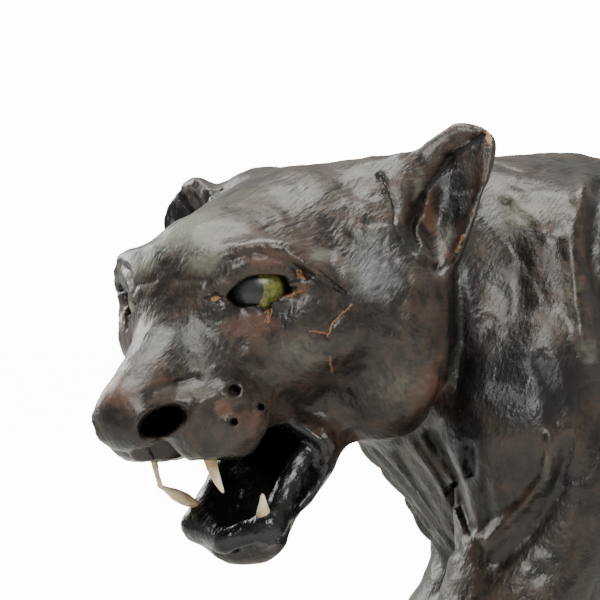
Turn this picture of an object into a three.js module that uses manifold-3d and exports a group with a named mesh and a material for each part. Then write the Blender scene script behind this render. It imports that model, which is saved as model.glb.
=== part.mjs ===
// Head and shoulders of a prowling panther in leather over a moulded core, cut flat below.
// Lengths are in millimetres, +Z is up, the animal faces -Y and its own left side is +X.
// The origin lies on the flat underside, on the middle plane of the trunk.
import * as THREE from "three";
import { mergeVertices } from "three/addons/utils/BufferGeometryUtils.js";
import Module from "manifold-3d";

// Driving sizes
const HEAD_LENGTH = 100; // nose to the back of the skull
const EYE_HEIGHT = 98; // middle of the eyes above the underside
const HEAD_REACH = 107; // middle of the eyes ahead of the origin
const HEAD_OFFSET = 19; // middle of the eyes towards the animal's left
const HEAD_TURN = 18.5; // degrees, nose towards the animal's left
const HEAD_PITCH = 2.5; // degrees, nose down
const HEAD_ROLL = 3.8; // degrees, left side up
const EYE_DIAMETER = 18; // glass eye
const FANG_THICKNESS = 3.4; // at the gum
const UPPER_FANG_LENGTH = 8; // what shows of each upper fang
const LOWER_FANG_LENGTH = 12; // what shows of the lower fang that is whole
const FANG_ROOT = 3.5; // how deep each fang sits in the gum
const SEAT_GAP = 0.3; // between a seat in the leather and the piece in it

// The figure is free form, so it keeps its proportions: below, one unit is a hundredth of the head's length
const UNIT = HEAD_LENGTH / 100;
const length = (x, y, z = 0) => Math.sqrt(x * x + y * y + z * z);
const dot = (a, b) => a[0] * b[0] + a[1] * b[1] + a[2] * b[2];
const rad = THREE.MathUtils.degToRad;

// Smooth joining, overlapping and cutting of forms, each given as its distance from a point
function join(a, b, blend) {
  const h = Math.max(blend - Math.abs(a - b), 0) / blend;
  return Math.min(a, b) - h * h * blend * 0.25;
}
const overlap = (a, b, blend) => -join(-a, -b, blend);
const cut = (a, b, blend) => -join(-a, b, blend);

// Distance from an ellipsoid
function ellipsoid(p, c, r) {
  const x = (p[0] - c[0]) / r[0];
  const y = (p[1] - c[1]) / r[1];
  const z = (p[2] - c[2]) / r[2];
  const near = length(x, y, z);
  const steep = length(x / r[0], y / r[1], z / r[2]);
  return steep < 1e-9 ? -Math.min(...r) : (near * (near - 1)) / steep;
}

// Distance from a limb whose radius goes from ra at a to rb at b, made wide times as wide across x
function limb(p, a, b, ra, rb, wide = 1) {
  const x = (p[0] - a[0]) / wide;
  const y = p[1] - a[1];
  const z = p[2] - a[2];
  const dx = (b[0] - a[0]) / wide;
  const dy = b[1] - a[1];
  const dz = b[2] - a[2];
  const t = Math.min(Math.max((x * dx + y * dy + z * dz) / (dx * dx + dy * dy + dz * dz), 0), 1);
  return length(x - dx * t, y - dy * t, z - dz * t) - ra - (rb - ra) * t;
}

// Distance from a row of limbs through points x, y, z and radius
function row(p, stops, blend, wide = 1) {
  let d = Infinity;
  for (let i = 1; i < stops.length; i++) {
    const [a, b] = [stops[i - 1], stops[i]];
    d = join(d, limb(p, a, b, a[3], b[3], wide), blend);
  }
  return d;
}

// The head's own frame: its origin is midway between the eyes, forward along -y
const HEAD_PLACE = [HEAD_OFFSET / UNIT, -HEAD_REACH / UNIT, EYE_HEIGHT / UNIT];
const headTurn = new THREE.Euler(rad(HEAD_PITCH), rad(-HEAD_ROLL), rad(HEAD_TURN), "ZXY");
const headAxes = new THREE.Matrix4().makeRotationFromEuler(headTurn);
const headMatrix = headAxes.clone().setPosition(...HEAD_PLACE);
const [AX, AY, AZ] = [0, 4, 8].map((i) => headAxes.elements.slice(i, i + 3));
function inHead(p) {
  const v = [p[0] - HEAD_PLACE[0], p[1] - HEAD_PLACE[1], p[2] - HEAD_PLACE[2]];
  return [dot(v, AX), dot(v, AY), dot(v, AZ)];
}

// Skull, face and upper jaw
function skull(q, m) {
  let d = ellipsoid(q, [0, 50, 0], [29, 36, 29.5]);
  d = join(d, ellipsoid(q, [0, 16, -3], [22, 28, 23]), 12);
  d = join(d, limb(q, [0, -4, -11], [0, -30.5, -26.5], 11, 8), 6);
  d = join(d, ellipsoid(q, [0, 12, -19], [18, 28, 16.5]), 8);
  d = join(d, ellipsoid(m, [21, 26, -9], [11, 23, 12]), 10);
  d = join(d, ellipsoid(m, [21, 47, -12], [17.5, 18, 27.5]), 9);
  d = join(d, ellipsoid(m, [8.5, -8, -27.5], [10.5, 16, 13]), 5);
  d = join(d, ellipsoid(m, [17, 61, 20.5], [13, 12, 9.5]), 8);
  d = join(d, limb(q, [0, -28, -34], [0.5, -22.5, -39.5], 2.6, 2.2), 2);
  return d;
}

// Place and axes of one eye: out of the face, along the slit towards the ear, and up
const EYE_PLACE = [12.7, 6.8, -0.5];
const EYE_OUT = [0.65, -0.76, 0];
const EYE_ALONG = [0.755, 0.645, 0.12];
const EYE_UP = [-0.091, -0.078, 0.993];
const EYE_RADIUS = EYE_DIAMETER / 2 / UNIT;

// Brow, lids and the slit between them, over one eye
function eyelids(m, d) {
  const v = [m[0] - EYE_PLACE[0], m[1] - EYE_PLACE[1], m[2] - EYE_PLACE[2]];
  const n = dot(v, EYE_OUT);
  const s = dot(v, EYE_ALONG);
  const t = dot(v, EYE_UP);
  const arch = length(s / 1.25, t + 3) - 11;
  const brow = length(arch, n - 7.5 + 0.012 * s * s) - 3.1 + Math.max(0, -t) * 0.5;
  let skin = join(d, brow, 7);
  skin = join(skin, length(n, s, t) - EYE_RADIUS - 1.3, 2.5);
  const upper = length(s, t + 10.4) - 13.6;
  const lower = length(s, t - 11.6) - 14.6;
  const slit = overlap(overlap(upper, lower, 1), 3 - n, 1);
  return cut(skin, slit, 0.8);
}

// Lower jaw, dropped wide open
function jaw(q) {
  return row(q, [[0, 42, -29, 13], [0, 25, -41, 11.7], [0, 13, -57, 8.2]], 5, 1.34);
}

// The gum along the rim of the lower jaw, worn lower on the left
const RIGHT_GUM = [[-11, 24, -41, 2.5], [-9.5, 8.5, -54.6, 3.6], [0, 4.5, -58.5, 3]];
const LEFT_GUM = [[0, 4.5, -58.5, 3], [9, 9, -56.3, 3.3], [11, 24, -41, 2.5]];
function gums(q) {
  return join(row(q, RIGHT_GUM, 3), row(q, LEFT_GUM, 3), 1);
}

// The mouth: a wedge between the lips, and the hollow behind it
function mouth(q) {
  const lip = q[2] + 39 + 0.06 * q[1];
  const gum = (q[1] - 21) * 0.887 - (q[2] + 35) * 0.462;
  const wedge = -join(-lip, -gum, 7);
  const hollow = row(q, [[0, 0, -49, 10], [0, 15, -46, 9], [0, 36, -32, 6]], 3, 1.45);
  const corner = limb(q, [-14, 16, -42.5], [14, 16, -42.5], 9.5, 9.5);
  return join(join(wedge, hollow, 2), corner, 4);
}

// The ears, cupped leaves. Each has axes out of the cup, towards its outer rim, and up to its tip.
const EARS = [
  { side: 1, foot: [27, 61.5, 5], tip: [36.5, 80, 35.5], facing: [0.2, -0.86, 0.46], half: 11.5 },
  { side: -1, foot: [-26, 53, 4], tip: [-37, 56, 29], facing: [-0.1, -0.9, 0.1], half: 11 },
].map(({ side, foot, tip, facing, half }) => {
  const up = new THREE.Vector3(...tip).sub(new THREE.Vector3(...foot));
  const tall = up.length();
  up.normalize();
  const out = new THREE.Vector3(...facing);
  out.addScaledVector(up, -up.dot(out)).normalize();
  const across = out.clone().cross(up).multiplyScalar(-side);
  return { foot, half, tall, out: out.toArray(), across: across.toArray(), up: up.toArray() };
});
function ear(q, { foot, half, tall, out, across, up }) {
  const v = [q[0] - foot[0], q[1] - foot[1], q[2] - foot[2]];
  const n = dot(v, out);
  const s = dot(v, across);
  const t = dot(v, up);
  const rise = Math.min(Math.max(t / tall, 0), 1);
  const edge = half * Math.sqrt(1 - rise ** 1.9) + 0.5;
  const cup = 0.055 * s * s - 2.5 + 0.1 * t;
  const reach = overlap(t - tall, -6 - t, 1);
  const leaf = overlap(overlap(Math.abs(n - cup) * 0.8 - 1.8, Math.abs(s) - edge, 2), reach, 2);
  const rim = overlap(length(n - cup - 1.5, (s + edge - 2.5) * 0.9) - 2.5, reach + 3, 2);
  return join(leaf, rim, 1.5);
}

// One nostril, an oval pit that runs on backwards
function nostril(m) {
  const opening = limb(m, [5.6, -32, -30.6], [8.2, -24.5, -27.6], 3.1, 3.3);
  return join(opening, limb(m, [6.6, -27, -29], [4.4, -17, -26.5], 2.8, 2.4), 1);
}

function head(q) {
  const m = [Math.abs(q[0]), q[1], q[2]];
  let d = join(skull(q, m), jaw(q), 6);
  d = join(cut(d, mouth(q), 2), gums(q), 2);
  d = eyelids(m, d);
  d = cut(d, nostril(m), 1.2);
  for (const e of EARS) d = join(d, ear(q, e), 6);
  return d;
}

// Neck, trunk, the stumps of both forelegs and the foot that fills the space between them
function body(p) {
  let d = limb(p, [0, 4, 92], [0, 32, 90], 42, 45);
  d = join(d, limb(p, [6, -44, 96], [0, -2, 88], 26, 38), 12);
  d = join(d, limb(p, [3, -14, 80], [0, 22, 34], 25, 24), 10);
  d = join(d, limb(p, [0, 36, 84], [0, 42, 0], 42, 34), 10);
  d = join(d, limb(p, [32, 4, 112], [38, -22, 64], 13, 18), 12);
  d = join(d, limb(p, [36, -7, 52], [38, -32, -4], 21, 17), 10);
  d = join(d, ellipsoid(p, [36, 0, 48], [20, 25, 34]), 10);
  d = join(d, limb(p, [-32, 8, 112], [-33, 14, 66], 13, 16), 12);
  d = join(d, limb(p, [-32, 32, 60], [-30, 53, -10], 17, 17), 10);
  d = join(d, ellipsoid(p, [0, 28, -2], [44, 46, 32]), 12);
  return d;
}

// Distance from the whole figure's skin, which ends a little below the underside
function skin(p) {
  return Math.max(join(head(inHead(p)), body(p), 4), -4 - p[2]);
}

// Triangles on the zero surface of a field, found in the six tetrahedra of each cube of a grid
function surface(field, low, high, step) {
  const n = low.map((v, i) => Math.ceil((high[i] - v) / step) + 1);
  const values = new Float32Array(n[0] * n[1] * n[2]).fill(NaN);
  const index = (i, j, k) => i + n[0] * (j + n[1] * k);
  const at = (i, j, k) => [low[0] + i * step, low[1] + j * step, low[2] + k * step];
  const block = 4;
  const cubes = [];
  for (let k = 0; k < n[2] - 1; k += block)
    for (let j = 0; j < n[1] - 1; j += block)
      for (let i = 0; i < n[0] - 1; i += block) {
        const half = block / 2;
        if (Math.abs(field(at(i + half, j + half, k + half))) > block * step * 1.3) continue;
        for (let c = k; c <= Math.min(k + block, n[2] - 1); c++)
          for (let b = j; b <= Math.min(j + block, n[1] - 1); b++)
            for (let a = i; a <= Math.min(i + block, n[0] - 1); a++) {
              const here = index(a, b, c);
              if (Number.isNaN(values[here])) values[here] = field(at(a, b, c)) || 1e-6;
              if (a === i + block || b === j + block || c === k + block) continue;
              if (a < n[0] - 1 && b < n[1] - 1 && c < n[2] - 1) cubes.push([a, b, c]);
            }
      }
  const points = [];
  const triangles = [];
  const made = new Map();
  const total = values.length;
  const crossing = (u, v, pu, pv) => {
    const key = u < v ? u * total + v : v * total + u;
    if (made.has(key)) return made.get(key);
    const t = Math.min(Math.max(values[u] / (values[u] - values[v]), 0.02), 0.98);
    points.push(pu.map((x, i) => x + (pv[i] - x) * t));
    made.set(key, points.length - 1);
    return points.length - 1;
  };
  const corners = [0, 1, 2, 3, 4, 5, 6, 7].map((c) => [c & 1, (c >> 1) & 1, (c >> 2) & 1]);
  const paths = [[1, 2], [2, 1], [1, 4], [4, 1], [2, 4], [4, 2]];
  for (const [i, j, k] of cubes) {
    const id = corners.map(([a, b, c]) => index(i + a, j + b, k + c));
    const inside = id.map((v) => values[v] < 0);
    if (inside.every((v) => v) || !inside.some((v) => v)) continue;
    const place = corners.map(([a, b, c]) => at(i + a, j + b, k + c));
    for (const [first, second] of paths) {
      const four = [0, first, first + second, 7];
      const ins = four.filter((v) => inside[v]);
      const outs = four.filter((v) => !inside[v]);
      if (!ins.length || !outs.length) continue;
      const between = (u, v) => crossing(id[u], id[v], place[u], place[v]);
      let ring = [[0, 0], [0, 1], [1, 1], [1, 0]].map(([a, b]) => [ins[a], outs[b]]);
      if (ins.length === 1) ring = outs.map((v) => [ins[0], v]);
      if (outs.length === 1) ring = ins.map((v) => [v, outs[0]]);
      ring = ring.map(([u, v]) => between(u, v));
      const outward = place[outs[0]].map((x, axis) => x - place[ins[0]][axis]);
      if (dot(normalOf(...ring.slice(0, 3).map((v) => points[v])), outward) < 0) ring.reverse();
      triangles.push([ring[0], ring[1], ring[2]]);
      if (ring.length === 4) triangles.push([ring[0], ring[2], ring[3]]);
    }
  }
  return { points, triangles };
}

// Normal of a triangle, twice its area long
function normalOf(a, b, c) {
  const u = [b[0] - a[0], b[1] - a[1], b[2] - a[2]];
  const v = [c[0] - a[0], c[1] - a[1], c[2] - a[2]];
  return [u[1] * v[2] - u[2] * v[1], u[2] * v[0] - u[0] * v[2], u[0] * v[1] - u[1] * v[0]];
}

// The same form in fewer triangles: neighbouring points merge, those that change the form least first.
// Each point keeps the sum of squared distances from the planes of the triangles merged into it.
function thinned({ points, triangles }, wanted) {
  const at = points.slice();
  const faces = triangles.map((f) => f.slice());
  const facesOf = at.map(() => []);
  const planes = new Float64Array(at.length * 10);
  faces.forEach((f, i) => {
    const normal = normalOf(at[f[0]], at[f[1]], at[f[2]]);
    const size = length(...normal);
    const [a, b, c] = normal.map((x) => x / (size || 1));
    const d = -dot([a, b, c], at[f[0]]);
    const terms = [a * a, a * b, a * c, a * d, b * b, b * c, b * d, c * c, c * d, d * d];
    for (const v of f) {
      facesOf[v].push(i);
      for (let k = 0; k < 10; k++) planes[v * 10 + k] += terms[k] * size;
    }
  });
  const version = new Int32Array(at.length);
  const heap = [];
  const rows = new THREE.Matrix3();
  const goal = new THREE.Vector3();
  const q = new Float64Array(10);
  const propose = (u, v) => {
    for (let k = 0; k < 10; k++) q[k] = planes[u * 10 + k] + planes[v * 10 + k];
    const weight = (q[0] + q[4] + q[7]) * 1e-3 + 1e-9;
    rows.set(q[0] + weight, q[1], q[2], q[1], q[4] + weight, q[5], q[2], q[5], q[7] + weight);
    goal.set(at[u][0] + at[v][0], at[u][1] + at[v][1], at[u][2] + at[v][2]).multiplyScalar(weight / 2);
    goal.x -= q[3];
    goal.y -= q[6];
    goal.z -= q[8];
    const { x, y, z } = goal.applyMatrix3(rows.invert());
    const squares = q[0] * x * x + q[4] * y * y + q[7] * z * z + q[9];
    const products = q[1] * x * y + q[2] * x * z + q[5] * y * z + q[3] * x + q[6] * y + q[8] * z;
    const reach = length(at[u][0] - at[v][0], at[u][1] - at[v][1], at[u][2] - at[v][2]);
    const cost = squares + 2 * products + weight * reach * reach * 0.5;
    const entry = { cost, u, v, x, y, z, stamp: version[u] + version[v] };
    let i = heap.push(entry) - 1;
    while (i > 0) {
      const parent = (i - 1) >> 1;
      if (heap[parent].cost <= cost) break;
      heap[i] = heap[parent];
      i = parent;
    }
    heap[i] = entry;
  };
  const next = () => {
    const first = heap[0];
    const last = heap.pop();
    if (!heap.length) return first;
    let i = 0;
    let child = 1;
    while (child < heap.length) {
      if (child + 1 < heap.length && heap[child + 1].cost < heap[child].cost) child++;
      if (last.cost <= heap[child].cost) break;
      heap[i] = heap[child];
      i = child;
      child = 2 * i + 1;
    }
    heap[i] = last;
    return first;
  };
  const neighbours = (v) => {
    const near = new Set();
    for (const i of facesOf[v]) for (const w of faces[i]) if (w !== v) near.add(w);
    return near;
  };
  faces.forEach((f) => {
    for (let k = 0; k < 3; k++) {
      const [u, v] = [f[k], f[(k + 1) % 3]];
      if (u < v) propose(u, v);
    }
  });
  let left = faces.length;
  while (left > wanted && heap.length) {
    const { u, v, x, y, z, stamp } = next();
    const place = [x, y, z];
    if (!facesOf[u].length || !facesOf[v].length || stamp !== version[u] + version[v]) continue;
    const nearV = neighbours(v);
    if ([...neighbours(u)].filter((w) => nearV.has(w)).length !== 2) continue;
    const both = facesOf[u].filter((i) => faces[i].includes(v));
    const kept = [...facesOf[u], ...facesOf[v]].filter((i) => !both.includes(i));
    const turns = kept.some((i) => {
      const before = normalOf(...faces[i].map((w) => at[w]));
      const after = normalOf(...faces[i].map((w) => (w === u || w === v ? place : at[w])));
      return dot(before, after) < 0.25 * length(...before) * length(...after);
    });
    if (turns) continue;
    for (const i of both) {
      for (const w of faces[i]) if (w !== u && w !== v) facesOf[w] = facesOf[w].filter((x) => x !== i);
      left--;
    }
    for (const i of kept) faces[i] = faces[i].map((w) => (w === v ? u : w));
    facesOf[u] = kept;
    facesOf[v] = [];
    at[u] = place;
    for (let k = 0; k < 10; k++) planes[u * 10 + k] += planes[v * 10 + k];
    version[u]++;
    for (const w of neighbours(u)) propose(Math.min(u, w), Math.max(u, w));
  }
  const live = new Set(facesOf.flat());
  return { points: at, triangles: [...live].map((i) => faces[i]) };
}

// Between three's geometry and the solids that join and cut
const wasm = await Module();
wasm.setup();
const { Manifold, Mesh } = wasm;
function solidOf(geometry) {
  const plain = geometry.clone();
  plain.deleteAttribute("normal");
  plain.deleteAttribute("uv");
  const merged = mergeVertices(plain, 1e-4);
  return new Manifold(
    new Mesh({
      numProp: 3,
      vertProperties: new Float32Array(merged.attributes.position.array),
      triVerts: new Uint32Array(merged.index.array),
    }),
  );
}
function geometryOf(vertices, triangles) {
  const geometry = new THREE.BufferGeometry();
  geometry.setAttribute("position", new THREE.BufferAttribute(new Float32Array(vertices), 3));
  geometry.setIndex(new THREE.BufferAttribute(new Uint32Array(triangles), 1));
  geometry.computeVertexNormals();
  return geometry;
}

// The leather figure, brought to millimetres
const [hx, hy, hz] = HEAD_PLACE;
const low = [Math.min(-66, hx - 52), hy - 52, -7];
const high = [Math.max(76, hx + 64), 96, Math.max(144, hz + 50)];
const found = thinned(surface(skin, low, high, 2), 7400);
const used = new Map();
found.triangles.flat().forEach((v) => used.has(v) || used.set(v, used.size));
const vertices = [...used.keys()].flatMap((v) => found.points[v].map((x) => x * UNIT));
const corners = found.triangles.flat().map((v) => used.get(v));
let leather = solidOf(geometryOf(vertices, corners));

// The underside is one flat cut
const below = new THREE.BoxGeometry(600 * UNIT, 600 * UNIT, 50 * UNIT);
below.translate(0, 0, -25 * UNIT);
leather = leather.subtract(solidOf(below));

// Eyes: glass balls in round sockets behind the lids
const panther = new THREE.Group();
const glass = { color: 0x2c2a12, roughness: 0.08 };
const ivory = { color: 0xd8c49a, roughness: 0.35 };
const cast = (name, geometry, look) => {
  const piece = new THREE.Mesh(geometry, new THREE.MeshStandardMaterial(look));
  piece.name = name;
  panther.add(piece);
};
const put = (geometry, q) => {
  const place = new THREE.Vector3(...q).applyMatrix4(headMatrix).multiplyScalar(UNIT);
  return geometry.translate(place.x, place.y, place.z);
};
const ball = (radius) => new THREE.SphereGeometry(radius, 20, 12);
for (const side of [1, -1]) {
  const place = [EYE_PLACE[0] * side, EYE_PLACE[1], EYE_PLACE[2]];
  leather = leather.subtract(solidOf(put(ball(EYE_DIAMETER / 2 + SEAT_GAP), place)));
  cast(side > 0 ? "glass_eye_left" : "glass_eye_right", put(ball(EYE_DIAMETER / 2), place), glass);
}

// Fangs: horns turned from radii along their length, each standing in a seat in the gum
const STUB_LENGTH = LOWER_FANG_LENGTH / 2;
const FANGS = [
  { name: "upper_fang_left", gum: [8.1, -11.3, -38.2], to: [0.22, 0.15, -1], tall: UPPER_FANG_LENGTH },
  { name: "upper_fang_right", gum: [-7.8, -10.5, -38.2], to: [0.15, 0.1, -1], tall: UPPER_FANG_LENGTH * 0.8 },
  { name: "lower_fang_left", gum: [9, 8, -54], to: [0, -0.08, 1], tall: STUB_LENGTH, chipped: true },
  { name: "lower_fang_right", gum: [-9.8, 7.3, -49.6], to: [-0.25, -0.84, 0.46], tall: LOWER_FANG_LENGTH },
];
const turned = (outline) => new THREE.LatheGeometry(outline.map(([r, z]) => new THREE.Vector2(r, z)), 10);
for (const { name, gum, to, tall, chipped } of FANGS) {
  const r = FANG_THICKNESS / 2;
  const way = new THREE.Vector3(...to).transformDirection(headMatrix);
  const stand = new THREE.Quaternion().setFromUnitVectors(new THREE.Vector3(0, 1, 0), way);
  const seat = turned([
    [0, -FANG_ROOT - SEAT_GAP],
    [r + SEAT_GAP, -FANG_ROOT - SEAT_GAP],
    [r + SEAT_GAP, 3],
    [0, 3],
  ]);
  leather = leather.subtract(solidOf(put(seat.applyQuaternion(stand), gum)));
  const belly = chipped ? 1 : 0.82;
  const horn = turned([
    [0, -FANG_ROOT],
    [r, -FANG_ROOT],
    [r, 0],
    [r * belly, tall * 0.45],
    [r * 0.5, tall * 0.8],
    [r * 0.18, tall * 0.98],
    [0, tall],
  ]);
  let tooth = solidOf(horn);
  if (chipped) {
    const chip = new THREE.BoxGeometry(r * 4, r * 4, r * 4).translate(r * 2, r * 2, 0);
    chip.rotateZ(rad(-38)).translate(-r * 0.2, tall * 0.82, 0);
    tooth = tooth.subtract(solidOf(chip));
  }
  const made = tooth.getMesh();
  const shape = geometryOf(made.vertProperties, made.triVerts).applyQuaternion(stand);
  cast(name, put(shape, gum), ivory);
}

const skinned = leather.getMesh();
const hide = { color: 0x3a302c, roughness: 0.45 };
cast("leather_bust", geometryOf(skinned.vertProperties, skinned.triVerts), hide);
export default panther;
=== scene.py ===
import math
import bpy
import numpy as np
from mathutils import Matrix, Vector


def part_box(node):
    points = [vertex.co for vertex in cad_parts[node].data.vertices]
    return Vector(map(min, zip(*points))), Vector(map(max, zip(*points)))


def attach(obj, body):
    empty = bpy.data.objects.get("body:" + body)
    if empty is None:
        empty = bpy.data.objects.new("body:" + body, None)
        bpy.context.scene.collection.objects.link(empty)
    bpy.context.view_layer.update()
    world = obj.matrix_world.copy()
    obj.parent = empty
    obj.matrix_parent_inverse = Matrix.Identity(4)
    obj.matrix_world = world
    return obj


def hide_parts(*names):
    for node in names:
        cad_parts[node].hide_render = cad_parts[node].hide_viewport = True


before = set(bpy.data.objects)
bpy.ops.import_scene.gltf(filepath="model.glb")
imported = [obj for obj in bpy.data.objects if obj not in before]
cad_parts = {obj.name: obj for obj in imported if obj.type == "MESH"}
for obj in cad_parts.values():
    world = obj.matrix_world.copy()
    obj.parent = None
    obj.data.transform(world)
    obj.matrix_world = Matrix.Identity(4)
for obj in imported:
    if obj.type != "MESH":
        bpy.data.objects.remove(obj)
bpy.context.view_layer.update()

# The skin: one hide of dark leather, wetted, stretched and glued over a moulded core of a
# panther's head, neck, shoulders and chest. Below, it is cut off flat. The form is built as
# smoothly joined muscles and bones, in millimetres, and the folds and creases are pressed in.

MM = 0.001
EYE_LEFT = np.mean(np.array(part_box("glass_eye_left")), axis=0) / MM
EYE_RIGHT = np.mean(np.array(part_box("glass_eye_right")), axis=0) / MM
EYE_RADIUS = 9.0
SOCKET_GAP = 0.3
# The middle between the eyes, and how far the head is turned to its left, bowed and tilted
HEAD_PLACE = np.array([19.0, -107.0, 98.0])
HEAD_TURN = math.radians(18.5)
HEAD_PITCH = math.radians(2.5)
HEAD_ROLL = math.radians(3.8)


def turn(axis, angle):
    """The matrix of a turn about axis 0, 1 or 2."""
    a, b = [(1, 2), (2, 0), (0, 1)][axis]
    matrix = np.eye(3)
    matrix[a, a] = math.cos(angle)
    matrix[b, b] = math.cos(angle)
    matrix[a, b] = -math.sin(angle)
    matrix[b, a] = math.sin(angle)
    return matrix


HEAD_AXES = turn(2, HEAD_TURN) @ turn(0, HEAD_PITCH) @ turn(1, -HEAD_ROLL)


def length(*parts):
    return np.sqrt(sum(part * part for part in parts))


def join(a, b, blend):
    """Two forms as one, their meeting rounded off over the blend."""
    h = np.maximum(blend - np.abs(a - b), 0) / blend
    return np.minimum(a, b) - h * h * blend * 0.25


def overlap(a, b, blend):
    """Only what lies in both forms."""
    return -join(-a, -b, blend)


def cut(a, b, blend):
    """The first form with the second taken out."""
    return -join(-a, b, blend)


def ellipsoid(p, centre, radii):
    v = (p - np.array(centre)) / np.array(radii)
    near = length(*v.T)
    steep = length(*(v / np.array(radii)).T)
    return near * (near - 1) / np.maximum(steep, 1e-9)


def limb(p, a, b, ra, rb, wide=1.0):
    """A rounded limb from a to b that tapers from ra to rb, stretched sideways by wide."""
    squeeze = np.array([1 / wide, 1, 1])
    start = np.array(a) * squeeze
    along = np.array(b) * squeeze - start
    v = p * squeeze - start
    t = np.clip(v @ along / (along @ along), 0, 1)
    return length(*(v - t[:, None] * along).T) - ra - (rb - ra) * t


def row(p, stops, blend, wide=1.0):
    """Limbs end to end through stops, each a place and a radius."""
    d = np.full(len(p), np.inf)
    for a, b in zip(stops, stops[1:]):
        d = join(d, limb(p, a[:3], b[:3], a[3], b[3], wide), blend)
    return d


def with_mass(d, p, centre, radii, blend):
    return join(d, ellipsoid(p, centre, radii), blend)


def with_limb(d, p, a, b, ra, rb, blend):
    return join(d, limb(p, a, b, ra, rb), blend)


# The head's masses, from the middle between the eyes: x to its left, y back and z up. A mass has
# its middle, half sizes and, after the first, its blend. A limb has its ends, radii and blend.
BRAINCASE = (0, 50, 0), (29, 36, 29.5)
FOREHEAD = (0, 16, -3), (22, 28, 23), 12
NOSE_BRIDGE = (0, -4, -11), (0, -30.5, -26.5), 11, 8, 6
PALATE = (0, 12, -19), (18, 28, 16.5), 8
CHEEKBONE = (21, 26, -9), (11, 23, 12), 10
JAW_MUSCLE = (21, 47, -12), (17.5, 18, 27.5), 9
WHISKER_PAD = (8.5, -8, -27.5), (10.5, 16, 13), 5
EAR_ROOT = (17, 61, 20.5), (13, 12, 9.5), 8
LEATHER_UNDER_NOSE = (0, -28, -34), (0.5, -22.5, -39.5), 2.6, 2.2, 1.2


def skull(q, m):
    """The skull with its muscles at places q of the head; m has both sides on the left."""
    d = ellipsoid(q, *BRAINCASE)
    d = with_mass(d, q, *FOREHEAD)
    d = with_limb(d, q, *NOSE_BRIDGE)
    d = with_mass(d, q, *PALATE)
    for pair in (CHEEKBONE, JAW_MUSCLE, WHISKER_PAD, EAR_ROOT):
        d = with_mass(d, m, *pair)
    return with_limb(d, q, *LEATHER_UNDER_NOSE)


# The eye's middle in the head, and its directions: out of the socket, along the slit and up
EYE_PLACE = (12.7, 6.8, -0.5)
EYE_AXES = np.array([(0.65, -0.76, 0), (0.755, 0.645, 0.12), (-0.091, -0.078, 0.993)])
BROW_RADIUS = 11.0
BROW_STRETCH = 1.25
BROW_DROP = 3.0
BROW_FORWARD = 7.5
BROW_BEND = 0.012
BROW_THICKNESS = 3.1
BROW_TAPER = 0.5
LID_THICKNESS = 1.3
LID_EDGE_THICKNESS = 1.9
LID_EDGE_WIDTH = 0.9
LID_EDGE_PLACE = 1.0
# The slit lies between two arcs: the height of the middle of each, and its radius
UPPER_LID = -10.4, 13.6
LOWER_LID = 11.6, 14.6
SLIT_END = 6.2
SLIT_FRONT = 3.0
SLIT_BLEND = 0.6
FAR_SLIT_SHIFT = 3.5


def lid_arcs(s, t):
    """How far outside the arc of the upper and of the lower lid each point lies."""
    return [length(s, t - middle) - radius for middle, radius in (UPPER_LID, LOWER_LID)]


def eyelids(q, m, d):
    """The form d with a brow and lids at each eye, and the slit cut between the lids."""
    n, s, t = ((m - np.array(EYE_PLACE)) @ EYE_AXES.T).T
    arch = length(s / BROW_STRETCH, t + BROW_DROP) - BROW_RADIUS
    brow = length(arch, n - BROW_FORWARD + BROW_BEND * s * s) - BROW_THICKNESS
    brow = brow + np.maximum(0, -t) * BROW_TAPER
    ball = length(n, s, t) - EYE_RADIUS
    lids = join(join(d, brow, 7), ball - LID_THICKNESS, 2.5)
    upper, lower = lid_arcs(s, t)
    slit = overlap(overlap(upper, lower, SLIT_BLEND), s - SLIT_END, SLIT_BLEND)
    far_slit = overlap(*lid_arcs(s + FAR_SLIT_SHIFT, t), SLIT_BLEND)
    slit = np.where(q[:, 0] < 0, np.minimum(slit, far_slit), slit)
    slit = overlap(slit, SLIT_FRONT - n, 1)
    edge = np.abs(np.maximum(upper, lower) - LID_EDGE_PLACE) - LID_EDGE_WIDTH
    lids = join(lids, overlap(edge, ball - LID_EDGE_THICKNESS, 1), 1)
    return cut(lids, slit, 0.5)


# The jaw, the gums and the hollow of the mouth: each stop is a place in the head and a radius
JAW_STOPS = [(0, 42, -29, 13), (0, 25, -41, 11.7), (0, 13, -57, 8.2)]
JAW_WIDE = 1.34
GUM_FRONT = (0, 4.5, -58.5, 3)
RIGHT_GUM = [(-11, 24, -41, 2.5), (-9.5, 8.5, -54.6, 3.6), GUM_FRONT]
LEFT_GUM = [GUM_FRONT, (9, 9, -56.3, 3.3), (11, 24, -41, 2.5)]
HOLLOW_STOPS = [(0, 0, -49, 10), (0, 15, -46, 9), (0, 36, -32, 6)]
HOLLOW_WIDE = 1.36
MOUTH_CORNERS = (-14, 16, -42.5), (14, 16, -42.5), 9.5, 9.5
FAR_MOUTH_WALL = (-11.5, 25, -48.5), (-9, 13, -54.5), 3.4, 3.4
# The gape lies below a nearly level plane at the upper lip and above a slanting one at the gums
LIP_LEVEL = -39.0
LIP_SLOPE = 0.06
GUM_LINE_BACK = 21.0
GUM_LINE_LEVEL = -35.0
GUM_LINE_SLOPE = 0.887, 0.462


def jaw(q):
    return row(q, JAW_STOPS, 5, JAW_WIDE)


def gums(q):
    return join(row(q, RIGHT_GUM, 3), row(q, LEFT_GUM, 3), 1)


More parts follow.
